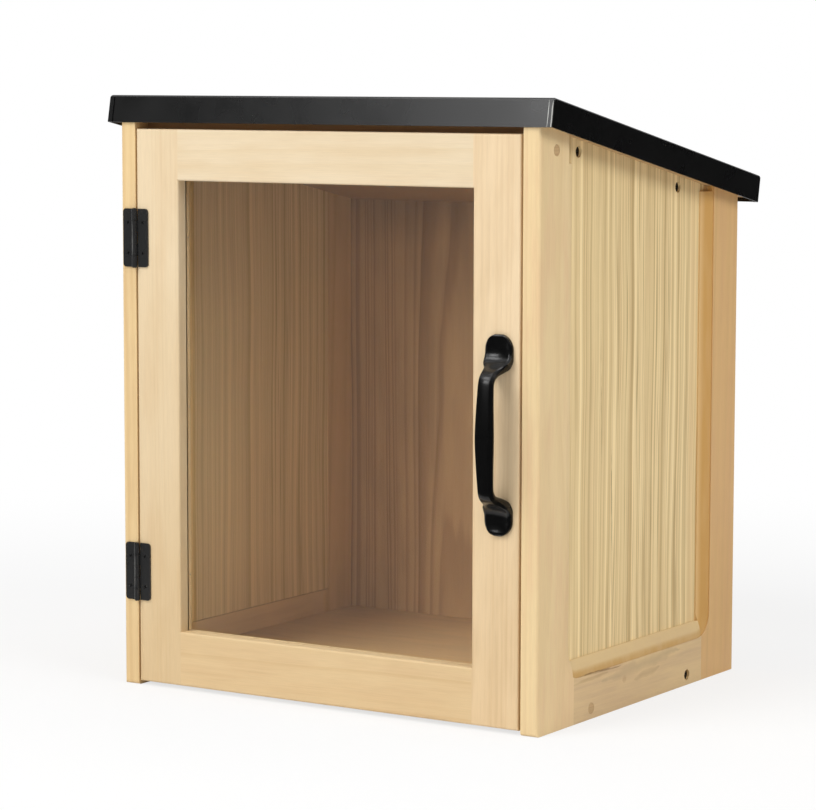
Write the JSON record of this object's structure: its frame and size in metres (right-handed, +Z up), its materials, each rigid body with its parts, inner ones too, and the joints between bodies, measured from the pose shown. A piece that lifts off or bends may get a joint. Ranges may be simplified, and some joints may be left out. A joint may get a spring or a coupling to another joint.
{
  "type": "book exchange box",
  "caption": "Small pine cabinet with framed sides, a glazed front door on surface hinges, a black pull and a sloping board roof under a black folded sheet cap.",
  "frame": {"origin": "middle of the flat base, on the underside of the floor board", "axes": "+Z up, -Y the side of the door, +X to the right of someone who faces the door"},
  "size_m": [0.37, 0.3325, 0.4294],
  "materials": {
    "side_pine": "clear-coated planed pine, low sheen",
    "field_pine": "clear-coated pine with a strong upright grain",
    "dowel_wood": "turned hardwood",
    "board_pine": "clear-coated pine",
    "roof_wood": "plain pine board",
    "roof_sheet": "black coated sheet, semi-gloss",
    "black_screw": "blackened steel",
    "zinc_screw": "zinc plated steel",
    "door_pine": "clear-coated planed pine, low sheen",
    "bead_pine": "clear-coated pine",
    "pane": "clear acrylic sheet",
    "bright_steel": "bright steel",
    "hinge_black": "black powder coat",
    "hinge_pin_black": "blackened steel",
    "pull_black": "gloss black lacquer",
    "catch_plastic": "ivory moulded plastic",
    "magnet": "ferrite block between bright steel plates"
  },
  "bodies": {
    "cabinet": {"right_front_stile": "side_pine", "right_rear_stile": "side_pine", "right_bottom_rail": "side_pine", "right_field_panel": "field_pine", "left_front_stile": "side_pine", "left_rear_stile": "side_pine", "left_bottom_rail": "side_pine", "left_field_panel": "field_pine", "side_dowels": "dowel_wood", "side_screws": "black_screw", "screw_plugs": "dowel_wood", "floor_panel": "board_pine", "back_panel": "board_pine", "back_screws": "zinc_screw", "header_rail": "board_pine", "ceiling_panel": "board_pine", "roof_board": "roof_wood", "roof_screws": "zinc_screw", "roof_cap": "roof_sheet", "cap_screws": "black_screw", "upper_hinge_fixed_leaf": "hinge_black", "upper_hinge_pin": "hinge_pin_black", "lower_hinge_fixed_leaf": "hinge_black", "lower_hinge_pin": "hinge_pin_black", "fixed_leaf_screws": "black_screw", "catch_housing": "catch_plastic", "catch_magnet": "magnet", "catch_screws": "zinc_screw"},
    "door": {"door_hinge_stile": "door_pine", "door_latch_stile": "door_pine", "door_top_rail": "door_pine", "door_bottom_rail": "door_pine", "door_dowels": "dowel_wood", "window_pane": "pane", "bead_left": "bead_pine", "bead_right": "bead_pine", "bead_top": "bead_pine", "bead_bottom": "bead_pine", "bead_pins": "bright_steel", "upper_hinge_moving_leaf": "hinge_black", "lower_hinge_moving_leaf": "hinge_black", "moving_leaf_screws": "black_screw", "handle": "pull_black", "handle_screws": "bright_steel", "strike_plate": "bright_steel", "strike_screw": "zinc_screw"}
  },
  "joints": [
    {"name": "door_hinge", "type": "hinge", "parent": "cabinet", "child": "door", "pos_m": [-0.1615, -0.1483, 0.2], "axis": [0, 0, -1], "range_deg": [0, 175]}
  ]
}
